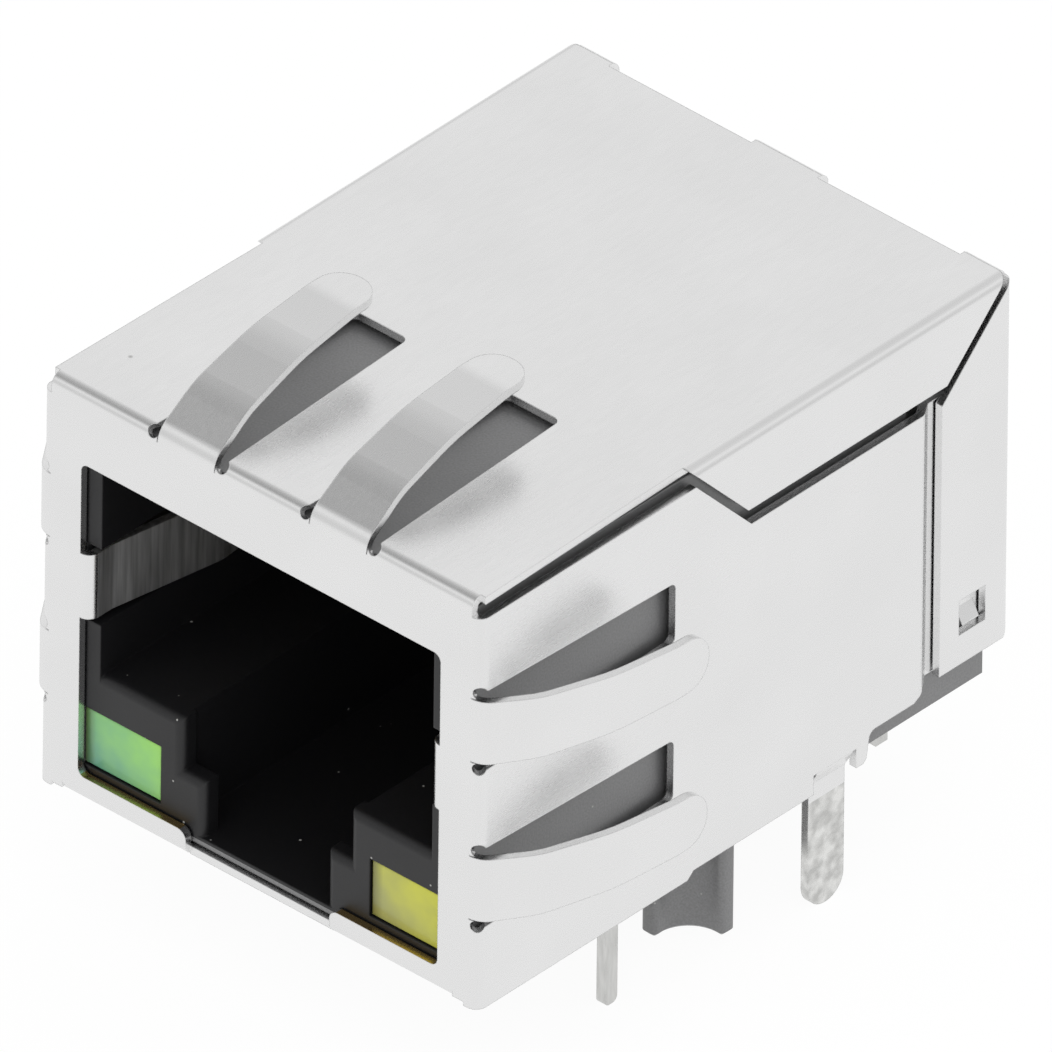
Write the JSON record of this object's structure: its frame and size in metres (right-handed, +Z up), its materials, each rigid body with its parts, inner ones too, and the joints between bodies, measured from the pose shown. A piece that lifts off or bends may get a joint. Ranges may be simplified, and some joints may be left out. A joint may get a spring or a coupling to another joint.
{
  "type": "shielded board jack for a network plug, with lamps",
  "caption": "Right-angle shielded board jack for a network plug, latch side down, with panel fingers, two lamps and its filter parts behind the port.",
  "frame": {"origin": "on the circuit board, midway between the two locating pegs", "axes": "+X across the port, +Y from the port to the rear, +Z up from the board"},
  "size_m": [0.0198, 0.0212, 0.0191],
  "materials": {
    "shield_sheet": "bright nickel plating",
    "housing_plastic": "black moulded nylon",
    "carrier_plastic": "black moulded polymer",
    "contact_metal": "gold over nickel",
    "pin_metal": "tinned",
    "board_laminate": "green solder mask",
    "green_lens": "clouded green resin",
    "yellow_lens": "clouded yellow resin",
    "ferrite": "sintered",
    "enamelled_wire": "enamelled copper",
    "chip_ceramic": "glazed chip",
    "capacitor_ceramic": "fired chip"
  },
  "bodies": {
    "root": {"choke_1_core": "ferrite", "choke_1_winding": "enamelled_wire", "choke_2_core": "ferrite", "choke_2_winding": "enamelled_wire", "contact_1": "contact_metal", "contact_2": "contact_metal", "contact_3": "contact_metal", "contact_4": "contact_metal", "contact_5": "contact_metal", "contact_6": "contact_metal", "contact_7": "contact_metal", "contact_8": "contact_metal", "contact_carrier": "carrier_plastic", "filter_board": "board_laminate", "green_lamp": "green_lens", "green_lamp_inner_lead": "pin_metal", "green_lamp_outer_lead": "pin_metal", "high_voltage_capacitor": "capacitor_ceramic", "housing": "housing_plastic", "pin_base": "carrier_plastic", "resistor_1": "chip_ceramic", "resistor_2": "chip_ceramic", "resistor_3": "chip_ceramic", "resistor_4": "chip_ceramic", "shield": "shield_sheet", "signal_pin_1": "pin_metal", "signal_pin_2": "pin_metal", "signal_pin_3": "pin_metal", "signal_pin_4": "pin_metal", "signal_pin_5": "pin_metal", "signal_pin_6": "pin_metal", "signal_pin_7": "pin_metal", "signal_pin_8": "pin_metal", "transformer_1_core": "ferrite", "transformer_1_winding": "enamelled_wire", "transformer_2_core": "ferrite", "transformer_2_winding": "enamelled_wire", "yellow_lamp": "yellow_lens", "yellow_lamp_inner_lead": "pin_metal", "yellow_lamp_outer_lead": "pin_metal"}
  },
  "joints": []
}
